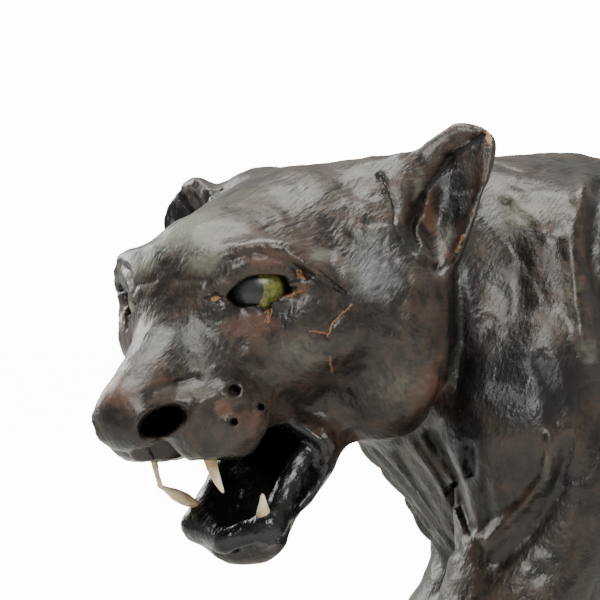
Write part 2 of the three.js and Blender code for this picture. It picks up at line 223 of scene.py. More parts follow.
def mouth(q):
    lip = q[:, 2] - LIP_LEVEL + LIP_SLOPE * q[:, 1]
    gum = (q[:, 1] - GUM_LINE_BACK) * GUM_LINE_SLOPE[0]
    gum = gum - (q[:, 2] - GUM_LINE_LEVEL) * GUM_LINE_SLOPE[1]
    gape = overlap(lip, gum, 7)
    hollow = row(q, HOLLOW_STOPS, 3, HOLLOW_WIDE)
    return join(join(gape, hollow, 2), limb(q, *MOUTH_CORNERS), 4)


# Each ear is a cupped leaf: its side, foot, tip, the way it faces and half its width. Its two
# edges are rolled and its middle swells: how far forward, how far in or aside, and the radius.
EARS = [
    (1, (27, 61.5, 5), (36.5, 80, 35.5), (0.2, -0.86, 0.46), 11.5),
    (-1, (-26, 53, 4), (-37, 56, 29), (-0.1, -0.9, 0.1), 11),
]
EAR_THICKNESS = 1.5
EAR_POINTEDNESS = 1.9
EAR_CUP = 0.055
EAR_CUP_DEPTH = 2.5
EAR_LEAN = 0.1
EAR_SUNK = 6.0
FRONT_ROLL = 1.5, 2.5, 2.6
BACK_ROLL = 0.8, 1.2, 1.5
EAR_SWELLING = 0.3, 1.5, 2.1


def ear(q, side, foot, tip, facing, half):
    foot, tip, facing = np.array(foot), np.array(tip), np.array(facing)
    tall = np.linalg.norm(tip - foot)
    up = (tip - foot) / tall
    out = facing - up * (up @ facing)
    out /= np.linalg.norm(out)
    across = np.cross(out, up) * -side
    v = q - foot
    n, s, t = v @ out, v @ across, v @ up
    rise = np.clip(t / tall, 0, 1)
    edge = half * np.sqrt(1 - rise**EAR_POINTEDNESS) + 0.5
    cup = EAR_CUP * s * s - EAR_CUP_DEPTH + EAR_LEAN * t
    reach = overlap(t - tall, -EAR_SUNK - t, 1)
    leaf = overlap(np.abs(n - cup) * 0.8 - EAR_THICKNESS, np.abs(s) - edge, 2)
    leaf = overlap(leaf, reach, 2)
    forward, inward, radius = FRONT_ROLL
    front = length(n - cup - forward, (s + edge - inward) * 0.9) - radius
    forward, inward, radius = BACK_ROLL
    back = length(n - cup - forward, (s - edge + inward) * 0.9) - radius
    rolls = join(overlap(front, reach + 2, 2), overlap(back, reach + 3, 2), 1)
    forward, aside, radius = EAR_SWELLING
    swelling = length(n - cup - forward, (s - aside) * 0.55) - radius
    swelling = overlap(swelling, np.maximum(t - tall + 5, -5 - t), 2)
    return join(join(leaf, rolls, 1.5), swelling, 2)


def head(q):
    m = np.column_stack([np.abs(q[:, 0]), q[:, 1], q[:, 2]])
    d = join(skull(q, m), jaw(q), 6)
    d = join(cut(d, mouth(q), 1.4), join(gums(q), limb(q, *FAR_MOUTH_WALL), 1), 2)
    d = eyelids(q, m, d)
    for one in EARS:
        d = join(d, ear(q, *one), 6)
    return d


# The trunk's masses and limbs, from the middle of the underside and in the same order of sizes
RIBCAGE = (0, 4, 92), (0, 32, 90), 42, 45
NECK = (6, -44, 96), (0, -2, 88), 26, 38, 12
BREAST = (3, -14, 80), (0, 22, 34), 25, 24, 10
CHEST_BACK = (0, 36, 84), (0, 42, 0), 42, 34, 10
LEFT_SHOULDER = (32, 4, 112), (38, -22, 64), 13, 18, 12
LEFT_FORELEG = (36, -7, 52), (38, -32, -4), 21, 17, 10
LEFT_UPPER_LEG = (36, 0, 48), (20, 25, 34), 10
RIGHT_SHOULDER = (-32, 8, 112), (-33, 14, 66), 13, 16, 12
RIGHT_FORELEG = (-32, 32, 60), (-30, 53, -10), 17, 17, 10
BELLY = (0, 28, -2), (44, 46, 32), 12


def body(p):
    d = limb(p, *RIBCAGE)
    for one in (NECK, BREAST, CHEST_BACK, LEFT_SHOULDER, LEFT_FORELEG):
        d = with_limb(d, p, *one)
    d = with_mass(d, p, *LEFT_UPPER_LEG)
    for one in (RIGHT_SHOULDER, RIGHT_FORELEG):
        d = with_limb(d, p, *one)
    return with_mass(d, p, *BELLY)


# The hide is looked at from its front left, where each fold was drawn: across and down in
# pixels of that view, 4.3 of them to a millimetre at the eyes, 700 mm away.
VIEW_AZIMUTH = math.radians(52)
VIEW_REACH = 700.0
VIEW_SCALE = 4.3
VIEW_EYES = (194.5, 293.0)
TOWARDS = np.array([math.sin(VIEW_AZIMUTH), -math.cos(VIEW_AZIMUTH), 0])
RIGHTWARDS = np.array([math.cos(VIEW_AZIMUTH), math.sin(VIEW_AZIMUTH), 0])
# Where the head's own left and right give way to the trunk's, and over how far
TRUNK_START = -42.0
TRUNK_CHANGE = 8.0


def drawn(p, q):
    """Where each point lies in that view, the right half of the figure as its left half."""
    v = np.column_stack([np.abs(q[:, 0]), q[:, 1], q[:, 2]]) @ HEAD_AXES.T
    trunk = np.column_stack([np.abs(p[:, 0]), p[:, 1], p[:, 2]]) - HEAD_PLACE
    is_trunk = np.clip((p[:, 1] - TRUNK_START) / TRUNK_CHANGE, 0, 1)[:, None]
    v = v * (1 - is_trunk) + trunk * is_trunk
    nearer = VIEW_SCALE * VIEW_REACH / (VIEW_REACH - v @ TOWARDS)
    return VIEW_EYES[0] + v @ RIGHTWARDS * nearer, VIEW_EYES[1] - v[:, 2] * nearer


def noise(p, seed):
    """Smooth random values from -1 to 1, one lattice cell to a unit, mixed by large odd numbers."""
    cell = np.floor(p).astype(np.int64)
    f = p - cell
    f = f * f * (3 - 2 * f)
    total = np.zeros(len(p))
    for corner in range(8):
        step = np.array([corner & 1, corner >> 1 & 1, corner >> 2])
        c = cell + step
        key = c[:, 0] * 73856093 ^ c[:, 1] * 19349663 ^ c[:, 2] * 83492791 ^ seed * 2654435761
        key = (key ^ key >> 13) * 1274126177 & 0x7FFFFFFF
        key = (key ^ key >> 16) * 1103515245 & 0x7FFFFFFF
        weight = np.prod(np.where(step == 1, f, 1 - f), axis=1)
        total += weight * ((key >> 7 & 0xFFFF) / 32767.5 - 1)
    return total


def line(x, y, stops):
    """Distance in pixels from a line through points of the view."""
    near = np.full(len(x), 1e9)
    for (ax, ay), (bx, by) in zip(stops, stops[1:]):
        dx, dy = bx - ax, by - ay
        t = np.clip(((x - ax) * dx + (y - ay) * dy) / (dx * dx + dy * dy), 0, 1)
        near = np.minimum(near, length(x - ax - t * dx, y - ay - t * dy))
    return near


def bell(distance, width):
    return np.exp(-((distance / width) ** 2))


def patch(x, y, centre, size):
    """1 at the centre of a patch of the view, and less and less away from it."""
    return bell(length((x - centre[0]) / size[0], (y - centre[1]) / size[1]), 1.0)


# Whisker pits: centre and radius in pixels, each a hole with a raised rim, in millimetres
PITS = [((234, 391), 5.6), ((260, 407), 3.4), ((233.5, 422), 4.2)]
PIT_DEPTH = 2.6
PIT_RIM = 0.8
NOSTRIL_PLACE = (161.0, 421.5)
NOSTRIL_SIZE = (24.0, 13.0)
NOSTRIL_SLOPE = math.radians(25)
NOSTRIL_DEPTH = 4.6
NOSTRIL_RIM = 0.5
# Folds: their line in pixels, half width in pixels and depth in millimetres, ridges negative
FOLDS = [
    # Brow and lids
    ([(207, 285), (226, 262), (254, 253), (284, 259), (304, 274)], 4.0, 0.8),
    ([(203, 268), (228, 246), (262, 240), (300, 248)], 6.0, -0.5),
    ([(302, 272), (322, 280), (346, 294)], 3.0, 1.0),
    ([(290, 256), (318, 268), (344, 287)], 5.0, -0.7),
    ([(178, 279), (205, 279)], 3.0, 0.6),
    ([(228, 303), (250, 312), (275, 306)], 3.0, 0.5),
    # Cracks under the eye
    ([(349, 307), (333, 322), (328, 335), (310, 331)], 2.2, 0.8),
    ([(298, 343), (310, 357)], 2.2, 0.6),
    ([(267, 305), (266, 318)], 2.4, 0.8),
    # Ear, and the skin before and below it
    ([(486, 134), (468, 145), (450, 158)], 3.5, 0.5),
    ([(450, 158), (434, 178), (422, 197)], 4.0, 0.7),
    ([(422, 197), (410, 225), (415, 249)], 4.5, 1.9),
    ([(381, 176), (394, 208), (393, 222), (400, 240)], 3.0, 0.8),
    ([(366, 222), (393, 222)], 3.0, 0.9),
    ([(400, 240), (416, 262), (436, 270)], 4.5, 0.9),
    # Muzzle
    ([(178, 386), (214, 380), (246, 372)], 7.0, 0.6),
    ([(150, 392), (168, 384), (196, 378)], 4.0, 0.8),
    ([(196, 404), (214, 396), (222, 384)], 4.0, -0.7),
    ([(246, 376), (286, 392), (318, 424)], 9.0, 0.7),
    ([(322, 426), (336, 448)], 4.0, -0.8),
    # Cheek, and the deep line behind it
    ([(330, 262), (352, 300), (392, 330)], 6.0, 0.5),
    ([(352, 236), (392, 262), (424, 300)], 6.0, 0.7),
    ([(456, 268), (462, 330), (458, 410)], 7.0, 1.0),
    # Throat, chest and foreleg
    ([(398, 452), (430, 505), (454, 550)], 5.0, 1.0),
    ([(412, 442), (440, 486), (462, 530)], 4.0, -0.9),
    ([(430, 436), (458, 478), (470, 530)], 5.0, 1.3),
    ([(470, 452), (471, 474)], 6.0, 2.4),
    ([(484, 470), (490, 510), (480, 560)], 6.0, 0.9),
    ([(552, 436), (546, 478), (522, 508), (488, 540)], 6.0, -2.0),
    ([(566, 444), (560, 492), (530, 536), (500, 566)], 8.0, 1.6),
    # Neck and shoulder
    ([(586, 180), (572, 236), (578, 300), (590, 352)], 9.0, -1.8),
    ([(600, 186), (592, 250), (600, 320)], 8.0, 1.2),
    ([(486, 200), (516, 246), (520, 310), (500, 380)], 14.0, 1.0),
    ([(512, 196), (536, 214), (548, 238)], 8.0, -0.9),
    ([(540, 360), (560, 400), (556, 430)], 9.0, 1.0),
]
# Swellings of all the hide and more of the trunk: height and width in millimetres, and a seed
SWELLINGS = [(0.5, 12, 1), (0.25, 5.5, 2), (0.12, 2.6, 3)]
TRUNK_SWELLINGS = [(0.9, np.array([16, 16, 26]), 9), (0.4, 8, 10)]
# Crinkles, streaks along the head, creases of the cheek and torn corners of the near eye
CRINKLE_WIDTH = np.array([11, 11, 17])
CRINKLE_DEPTH = 0.2
TRUNK_CRINKLE_DEPTH = 0.3
STREAKS_TO_A_MM = np.array([0.6, 0.1, 0.5])
STREAK_DEPTH = 0.17
CREASED_CHEEK = (374, 280), (60, 70)
CHEEK_CREASE_DEPTH = 0.35
TORN_CORNERS = [((297, 287), (9, 12)), ((218, 298), (6, 6))]
TORN_DEPTH = 0.5
TORN_ROUGHNESS = 1.1
FOLD_WANDER = 1.8
MOUTH_WRINKLE = 0.3
# How far back on the head the nose reaches, and how low its underside starts
NOSE_BACK = -6.0
NOSE_UNDERSIDE = -31.0


def nostril(x, y):
    """How far outside the nostril each point of the view is, in pixels."""
    u, v = x - NOSTRIL_PLACE[0], y - NOSTRIL_PLACE[1]
    along = u * math.cos(NOSTRIL_SLOPE) - v * math.sin(NOSTRIL_SLOPE)
    athwart = u * math.sin(NOSTRIL_SLOPE) + v * math.cos(NOSTRIL_SLOPE)
    return (length(along / NOSTRIL_SIZE[0], athwart / NOSTRIL_SIZE[1]) - 1) * NOSTRIL_SIZE[1]


def swollen(p, swellings):
    return sum(height * noise(p / width, seed) for height, width, seed in swellings)


def pressed(p, q):
    """How deep folds, creases and pits go in at each point, in millimetres."""
    x, y = drawn(p, q)
    deep = swollen(p, SWELLINGS)
    trunk = np.clip((p[:, 1] + 40) / 20, 0, 1)
    deep += trunk * swollen(p, TRUNK_SWELLINGS)
    crinkled = 1 - np.abs(noise(p / CRINKLE_WIDTH + 0.5 * noise(p / 9, 13)[:, None], 14))
    deep += (CRINKLE_DEPTH + TRUNK_CRINKLE_DEPTH * trunk) * crinkled**5
    streaked = noise(q * STREAKS_TO_A_MM + 0.6 * noise(q / 9, 4)[:, None], 5)
    deep += (1 - trunk) * STREAK_DEPTH * streaked
    creases = np.column_stack([x / 5.5 + y / 40, y / 21 - x / 60, q[:, 1] * 0])
    creased = noise(creases + 0.5 * noise(p / 6, 6)[:, None], 7)
    deep += patch(x, y, *CREASED_CHEEK) * CHEEK_CREASE_DEPTH * creased
    wander = FOLD_WANDER * noise(p / 3.5, 8)
    for stops, half, depth in FOLDS:
        deep += depth * bell(line(x, y, stops) + wander, half)
    torn = sum(patch(x, y, *corner) for corner in TORN_CORNERS)
    deep += torn * (TORN_DEPTH + TORN_ROUGHNESS * noise(p / 1.3, 11))
    for centre, radius in PITS:
        far = length(x - centre[0], y - centre[1])
        deep += PIT_DEPTH * bell(far, radius * 0.8) - PIT_RIM * bell(far - radius * 1.6, radius * 0.5)
    outside = nostril(x, y) + 1.2 * noise(p / 2.4, 15)
    nose_hole = NOSTRIL_DEPTH * np.clip(0.5 - outside / 3, 0, 1) - NOSTRIL_RIM * bell(outside - 4, 2.5)
    deep += np.clip((NOSE_BACK - q[:, 1]) / 3, 0, 1) * nose_hole
    inside_mouth = np.clip(1.5 - mouth(q), 0, 1) * (q[:, 1] < 30)
    return deep + inside_mouth * MOUTH_WRINKLE * noise(p / 2.1, 12)


def skin(p):
    return join(head((p - HEAD_PLACE) @ HEAD_AXES), body(p), 4)


def sockets(p):
    return np.minimum(length(*(p - EYE_LEFT).T), length(*(p - EYE_RIGHT).T)) - EYE_RADIUS - SOCKET_GAP


# The form is worked out at points one step apart, in blocks of steps, only near the hide, and a
# share of them at a time
STEP = 0.72
LOW = np.array([-54.0, -148.0, -2.0])
HIGH = np.array([64.0, 86.0, 145.0])
BLOCK = 4
BLOCK_MARGIN = 2.4
BLOCK_SHARES = 8
PLACE_SHARES = 24
FOLD_REACH = 6.0
count = np.ceil((HIGH - LOW) / STEP / BLOCK).astype(int) * BLOCK + 1
starts = np.stack(np.meshgrid(*[np.arange(0, n - 1, BLOCK) for n in count], indexing="ij"), -1)
starts = starts.reshape(-1, 3)
found = []
for part in np.array_split(starts, BLOCK_SHARES):
    p = LOW + (part + BLOCK / 2) * STEP
    found.append(np.maximum(skin(p), -p[:, 2]))
blocks = starts[np.abs(np.concatenate(found)) < BLOCK * STEP + BLOCK_MARGIN]
offsets = np.stack(np.meshgrid(*[np.arange(BLOCK + 1)] * 3, indexing="ij"), -1).reshape(-1, 3)
places = np.unique((blocks[:, None] + offsets).reshape(-1, 3), axis=0)
found = []
for part in np.array_split(places, PLACE_SHARES):
    p = LOW + part * STEP
    d = skin(p)
    close = np.abs(d) < FOLD_REACH
    d[close] += pressed(p[close], (p[close] - HEAD_PLACE) @ HEAD_AXES)
    found.append(np.maximum(cut(d, sockets(p), 0.2), -p[:, 2]))
values = np.full(count, np.nan, dtype=np.float32)
values[tuple(places.T)] = np.concatenate(found)


def wrapped(values, low, step):
    """A mesh round the inside of a form: one point in each cell that its surface crosses."""
    inside = values < 0
    known = ~np.isnan(values)
    shape = np.array(values.shape)
    cells = shape - 1
    sums = np.zeros((*cells, 3), dtype=np.float32)
    hits = np.zeros(cells, dtype=np.float32)
    crossings = []
    for axis in range(3):
        one, u, v = (np.eye(3, dtype=int)[(axis + i) % 3] for i in range(3))
        a = tuple(slice(0, n - d) for n, d in zip(shape, one))
        b = tuple(slice(d, n) for n, d in zip(shape, one))
        where = np.argwhere((inside[a] != inside[b]) & known[a] & known[b])
        va = values[tuple(where.T)]
        vb = values[tuple((where + one).T)]
        point = where + one * (va / (va - vb))[:, None]
        for shift in (0 * u, -u, -v, -u - v):
            cell = where + shift
            ok = np.all((cell >= 0) & (cell < cells), axis=1)
            np.add.at(sums, tuple(cell[ok].T), point[ok])
            np.add.at(hits, tuple(cell[ok].T), 1)
        inner = np.all((where - u - v >= 0) & (where < cells), axis=1)
        quad = np.stack([where, where - u, where - u - v, where - v], axis=1)[inner]
        flip = va[inner] > 0
        quad[flip] = quad[flip][:, ::-1]
        crossings.append(quad.reshape(-1, 3))
    used = np.argwhere(hits > 0)
    number = np.full(cells, -1)
    number[tuple(used.T)] = np.arange(len(used))
    points = low + step * sums[tuple(used.T)] / hits[tuple(used.T)][:, None]
    quads = number[tuple(np.concatenate(crossings).T)].reshape(-1, 4)
    return points, quads


def mesh_of(name, points, faces):
    """A smooth piece from points in millimetres."""
    mesh = bpy.data.meshes.new(name)
    mesh.from_pydata((points * MM).tolist(), [], [list(map(int, f)) for f in faces])
    piece = bpy.data.objects.new(name, mesh)
    bpy.context.scene.collection.objects.link(piece)
    mesh.polygons.foreach_set("use_smooth", np.ones(len(mesh.polygons), dtype=bool))
    return piece


MOST_TRIANGLES = 190000
UNDERSIDE_SHARE = 0.45
points, quads = wrapped(values, LOW, STEP)
underside = points[:, 2] < UNDERSIDE_SHARE * STEP
points[underside, 2] = 0.0
hide = mesh_of("leather_skin", points, quads)
thinner = hide.modifiers.new("thinner", "DECIMATE")
thinner.ratio = min(1.0, MOST_TRIANGLES / (2 * len(quads)))
bpy.context.view_layer.objects.active = hide
bpy.ops.object.modifier_apply(modifier=thinner.name)
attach(hide, "root")
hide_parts("leather_bust")

DARK_LEATHER = (0.009, 0.006, 0.005)
BROWN_LEATHER = (0.037, 0.0225, 0.0150)
RED_LEATHER = (0.077, 0.033, 0.019)
RAW_LEATHER = (0.20, 0.085, 0.032)
# A grey film on the leather together with painted sheen: pale greenish on the brow and silver on the
# creased cheek, where light glances off
PALE_FILM_AND_SHEEN = (0.100, 0.102, 0.074)
SILVER_FILM_AND_SHEEN = (0.125, 0.125, 0.135)
# Painted shade: near black laid under the head on the chest, behind the cheek, in the ear's hollow and
# under the jaw
PAINTED_SHADE_COLOUR = (0.003, 0.0028, 0.003)
# Near black painted as shade in the hollows of folds, in slits and in pits
CREVICE_SHADE = (0.005, 0.004, 0.004)
# Black: the paint of the mouth and jaw, and painted shade inside the nostril
BLACK_PAINT_AND_NOSTRIL_SHADE = (0.0045, 0.0045, 0.0045)
# Black paint: its lower edge and its end on the jaw in pixels, how far back it goes on the jaw
# and in the mouth in millimetres, and its patch under the nose
CHIN_EDGE_X = (186, 200, 222, 250, 285, 300)
CHIN_EDGE_Y = (506, 516, 538, 538, 546, 560)
JAW_PAINT_END = 330
JAW_PAINT_BACK = 34
MOUTH_PAINT_BACK = 46
PAINT_UNDER_NOSE = (120, 447), (17, 11)
# Patches of the view: centre, size and strength
WORN = [
    ((255, 325), (45, 18), 0.9), ((215, 350), (24, 30), 0.5), ((114, 392), (20, 22), 1.0),
    ((222, 408), (9, 9), 1.2), ((262, 258), (40, 9), 0.8), ((300, 290), (12, 10), 0.9),
    ((430, 215), (12, 30), 0.8), ((445, 255), (18, 10), 0.6), ((352, 200), (20, 12), 0.5),
    ((430, 390), (28, 36), 0.6), ((540, 370), (36, 28), 0.7), ((215, 520), (12, 16), 0.9),
    ((160, 380), (30, 9), 0.5), ((585, 270), (10, 30), 0.6), ((300, 400), (30, 30), 0.35),
    ((380, 440), (16, 40), 0.4), ((455, 480), (20, 30), 0.4), ((245, 420), (26, 20), 0.6),
]
# Grey film and painted sheen: pale patches where the leather catches the light on the brow, cheek,
# muzzle and shoulder
FILM_AND_SHEEN_PATCHES = [
    ((185, 225), (45, 30), 1.0), ((205, 262), (26, 16), 0.9), ((375, 268), (38, 45), 0.9),
    ((325, 255), (16, 8), 1.0), ((160, 300), (18, 40), 0.4), ((300, 195), (70, 14), 0.5),
    ((520, 215), (22, 28), 0.8), ((572, 300), (18, 60), 0.5), ((590, 350), (16, 16), 0.7),
    ((175, 390), (18, 7), 0.6), ((545, 470), (12, 40), 0.5), ((395, 200), (10, 16), 0.9),
    ((420, 190), (8, 30), 0.7), ((300, 350), (34, 28), 0.6), ((395, 385), (50, 36), 0.5),
    ((450, 235), (8, 16), 0.8),
]
CREASED = [((378, 275), (46, 52), 1.0), ((400, 205), (16, 20), 0.7), ((245, 375), (26, 16), 0.4)]
# Painted shade: patches darkened under the head on the chest, behind the cheek, in the ear's hollow
# and under the jaw, and weaker ones on the brow and cheek
PAINTED_SHADE_PATCHES = [
    ((530, 385), (75, 60), 0.85), ((466, 330), (20, 110), 0.9), ((452, 190), (20, 40), 1.0),
    ((470, 440), (25, 40), 0.9), ((300, 235), (60, 20), 0.3), ((500, 540), (14, 40), 0.5),
    ((365, 235), (20, 12), 0.5), ((390, 320), (30, 20), 0.4), ((225, 245), (20, 8), 0.3),
]
# Torn and cracked places, then slits and holes darkened with painted shade: their line in pixels and
# half its width
RAW = [
    ([(213, 299), (219, 296)], 3.0), ([(267, 309), (268, 322)], 1.6),
    ([(271, 309), (269, 321)], 1.2), ([(352, 305), (334, 321), (328, 336)], 1.1),
    ([(310, 331), (328, 334)], 1.0), ([(330, 356), (332, 372)], 1.0),
    ([(487, 131), (490, 141)], 3.0), ([(463, 236), (457, 252)], 1.6),
    ([(299, 271), (303, 278)], 2.2), ([(288, 296), (301, 291)], 1.6),
    ([(231, 297), (257, 305), (277, 299)], 1.1),
]
SHADED_SLITS = [
    ([(484, 135), (450, 158), (422, 197), (410, 225), (415, 249)], 2.6),
    ([(229, 299), (256, 308), (278, 301)], 0.7), ([(320, 271), (346, 292)], 0.9),
    ([(381, 176), (394, 208), (393, 222), (400, 240)], 0.8),
    ([(204, 299), (215, 294), (222, 296)], 1.3), ([(284, 284), (300, 280)], 1.5),
    ([(286, 290), (296, 287)], 1.2), ([(234, 391), (234.5, 391.5)], 3.6),
    ([(260, 407), (260.5, 407.5)], 1.9), ([(233, 422), (233.5, 423)], 2.5),
]
# Depth in millimetres behind the eyes beyond which no line is drawn
LINE_REACH = -56.0
LINE_SOFTNESS = 0.8
LINE_WANDER = 5.0


def marked(mesh, name, values):
    """Keep one number for each point of a mesh under a name that its shader can read."""
    mesh.attributes.new(name, "FLOAT", "POINT").data.foreach_set("value", values.astype(np.float32))


def soft(value, width):
    return np.clip(value / width + 0.5, 0, 1)


def patches(x, y, marks):
    total = np.zeros(len(x))
    for centre, size, much in marks:
        total = np.maximum(total, much * patch(x, y, centre, size))
    return total


p = np.empty(len(hide.data.vertices) * 3, dtype=np.float32)
hide.data.vertices.foreach_get("co", p)
p = p.reshape(-1, 3).astype(float) / MM
q = (p - HEAD_PLACE) @ HEAD_AXES
x, y = drawn(p, q)
ragged = 0.6 * noise(p / 2.5, 21) + 0.4 * noise(p / 1.1, 22)
on_jaw = soft(LIP_LEVEL - 0.5 - LIP_SLOPE * q[:, 1] - q[:, 2] + 0.6 * ragged, 1.2)
on_jaw *= soft(JAW_PAINT_BACK - q[:, 1], 3) * soft(JAW_PAINT_END - x, 6)
on_jaw *= soft(np.interp(x, CHIN_EDGE_X, CHIN_EDGE_Y) - y + 4 * ragged, 8)
inside_mouth = soft(1.0 - mouth(q) + 0.3 * ragged, 0.8) * soft(MOUTH_PAINT_BACK - q[:, 1], 4)
# Inside the nostril the black is painted shade of the deep hole
nostril_shade = soft(-nostril(x, y), 3) * soft(NOSE_BACK - q[:, 1], 3)
under_nose = soft(patch(x, y, *PAINT_UNDER_NOSE) - 0.45, 0.2) * soft(NOSE_UNDERSIDE - q[:, 2], 2)
painted = np.maximum(np.maximum(on_jaw, inside_mouth), np.maximum(nostril_shade, under_nose))
marked(hide.data, "painted", painted)
marked(hide.data, "worn", patches(x, y, WORN))
marked(hide.data, "filmed", patches(x, y, FILM_AND_SHEEN_PATCHES))
marked(hide.data, "blackened", patches(x, y, PAINTED_SHADE_PATCHES))
marked(hide.data, "creased", patches(x, y, CREASED))
marked(hide.data, "pressed", np.clip(pressed(p, q) / 2 + 0.5, 0, 1))


class Shade:
    """A socket of a finish: what is done with these is worked out by the shader."""

    def __init__(self, tree, socket=None):
        self.tree, self.socket = tree, socket

    def node(self, kind, settings=(), sockets=(), output=0):
        """A new node of a kind, its settings made first and its sockets filled or linked next."""
        node = self.tree.nodes.new("ShaderNode" + kind)
        for name, value in dict(settings).items():
            setattr(node, name, value)
        for name, value in dict(sockets).items():
            self.fill(node.inputs[name], value)
        return Shade(self.tree, node.outputs[output])

    def fill(self, socket, value):
        """Put a number, a colour, a place or another of these into a socket."""
        if isinstance(value, Shade):
            self.tree.links.new(value.socket, socket)
        elif socket.type == "RGBA":
            socket.default_value = (*value, 1)
        elif socket.type == "VECTOR":
            socket.default_value = tuple(value)
        else:
            socket.default_value = value

    def maths(self, operation, a, b):
        return self.node("Math", {"operation": operation}, {0: a, 1: b})

    def __add__(self, other):
        return self.maths("ADD", self, other)

    def __sub__(self, other):
        return self.maths("SUBTRACT", self, other)

    def __rsub__(self, other):
        return self.maths("SUBTRACT", other, self)

    def __mul__(self, other):
        return self.maths("MULTIPLY", self, other)

    def __rtruediv__(self, other):
        return self.maths("DIVIDE", other, self)

    __radd__ = __add__
    __rmul__ = __mul__

    def vector(self, operation, other, output=0):
        """Maths of directions and places; other is one of them, or a number to scale by."""
        sockets = {0: self, ("Scale" if operation == "SCALE" else 1): other}
        return self.node("VectorMath", {"operation": operation}, sockets, output)

    def dot(self, other):
        return self.vector("DOT_PRODUCT", other, "Value")

    def between(self, low, high):
        """0 below low, 1 above high and smooth between them."""
        settings = {"interpolation_type": "SMOOTHSTEP"}
        return self.node("MapRange", settings, {"Value": self, "From Min": low, "From Max": high})

    def mix(self, a, b):
        """From colour a, where this is 0, to colour b, where it is 1."""
        return self.node("Mix", {"data_type": "RGBA"}, {0: self, 6: a, 7: b}, 2)


def finish(name, piece):
    """A new finish on a piece, with the places of its points in millimetres."""
    material = bpy.data.materials.new(name)
    material.use_nodes = True
    piece.data.materials.clear()
    piece.data.materials.append(material)
    shade = Shade(material.node_tree)
    metres = shade.node("TexCoord", output="Object")
    place = shade.node("VectorMath", {"operation": "SCALE"}, {0: metres, "Scale": 1 / MM})
    return shade, place, material.node_tree.nodes["Principled BSDF"].inputs


shade, place, surface = finish("aged_leather", hide)


def mark(name):
    return shade.node("Attribute", {"attribute_name": name}, output="Fac")


def grain(scale, detail=3.0, roughness=0.6, vector=None):
    sockets = {"Vector": vector or place, "Scale": scale, "Detail": detail, "Roughness": roughness}
    return shade.node("TexNoise", {}, sockets)


def stretched(turned, scale):
    sockets = {"Vector": place, "Rotation": turned, "Scale": scale}
    return shade.node("Mapping", {"vector_type": "TEXTURE"}, sockets)


def joined(x, y, z):
    return shade.node("CombineXYZ", {}, {"X": x, "Y": y, "Z": z})


def drawn_by_shader():
    """The view of drawn() worked out by the shader, for marks finer than the mesh."""
    v = place.vector("SUBTRACT", HEAD_PLACE)
    to_left = v.dot(HEAD_AXES[:, 0])
    right_half = to_left.maths("MINIMUM", to_left, 0.0)
    v = v.vector("ADD", joined(*HEAD_AXES[:, 0]).vector("SCALE", right_half * -2.0))
    depth = v.dot(TOWARDS)
    nearer = (VIEW_SCALE * VIEW_REACH) / (VIEW_REACH - depth)
    x = v.dot(RIGHTWARDS) * nearer + VIEW_EYES[0]
    y = VIEW_EYES[1] - v.dot((0, 0, 1)) * nearer
    return joined(x, y, 0), depth


def near_lines(spot, lines):
    """1 within the half width of any line of the view, and 0 away from them."""
    mask = None
    for stops, half in lines:
        nearest = None
        for (ax, ay), (bx, by) in zip(stops, stops[1:]):
            step = np.array([bx - ax, by - ay, 0.0])
            v = spot.vector("SUBTRACT", (ax, ay, 0))
            share = shade.node("Clamp", {}, {"Value": v.dot(step / (step @ step))})
            off = v.vector("SUBTRACT", joined(*step).vector("SCALE", share))
            off = off.node("VectorMath", {"operation": "LENGTH"}, {0: off}, "Value")
            nearest = off if nearest is None else off.maths("MINIMUM", nearest, off)
        one = (half - nearest).between(-LINE_SOFTNESS, LINE_SOFTNESS)
        mask = one if mask is None else one.maths("MAXIMUM", mask, one)
    return mask


# Grains of the leather: how many to a millimetre, how detailed and how rough. Hairs run back
# along the head, and two sets of fine creases cross each other.
HAIR_STRETCH = (0.9, 17.0, 1.5)
CREASE_SLOPES = math.radians(38), math.radians(-62)
CREASE_STRETCHES = (0.75, 2.0, 7.0), (0.9, 2.0, 6.0)
clouds = grain(0.05, 4.0)
mottle = grain(0.22, 5.0, 0.65)
speckle = grain(1.3, 3.0, 0.6)
hairs = grain(1.0, 1.5, 0.5, stretched((0, 0, HEAD_TURN), HAIR_STRETCH))
across, along = (
    grain(1.0, 2.0, 0.55, stretched((0, slope, VIEW_AZIMUTH), stretch))
    for slope, stretch in zip(CREASE_SLOPES, CREASE_STRETCHES)
)
spot, depth = drawn_by_shader()
wobble = shade.node("TexNoise", {}, {"Vector": place, "Scale": 0.7, "Detail": 2.0}, 1)
wobble = wobble.vector("SUBTRACT", (0.5, 0.5, 0.5)).vector("SCALE", LINE_WANDER)
spot = spot.vector("ADD", wobble.vector("MULTIPLY", (1, 1, 0)))
on_left = place.vector("SUBTRACT", HEAD_PLACE).dot(HEAD_AXES[:, 0]).between(-1, 1)
not_behind = depth.between(LINE_REACH - 4, LINE_REACH)

# Gloss, and how strongly each grain and mark stands in the relief
LEATHER_ROUGHNESS = 0.37
LEATHER_COAT = 0.15
PAINT_COAT = 0.1
COAT_ROUGHNESS = 0.19
SPECULAR_LEVEL = 0.4
HAIR_RELIEF = 0.42
MOTTLE_RELIEF = 0.2
SPECKLE_RELIEF = 0.08
CREASE_RELIEF = 0.8
PAINT_RELIEF = 0.3
SLIT_RELIEF = 0.5
RAW_RELIEF = 0.35
RELIEF_STRENGTH = 0.75
RELIEF_DEPTH = 1.0 * MM

# Where each look of the leather shows, from 0 to 1
# Painted shade along the slits, seams and pits, which are also rougher, bare of coat and sunk in the
# relief
painted_slit_shade = near_lines(spot, SHADED_SLITS) * not_behind
raw_here = near_lines(spot, RAW) * not_behind * on_left
creased_here = mark("creased")
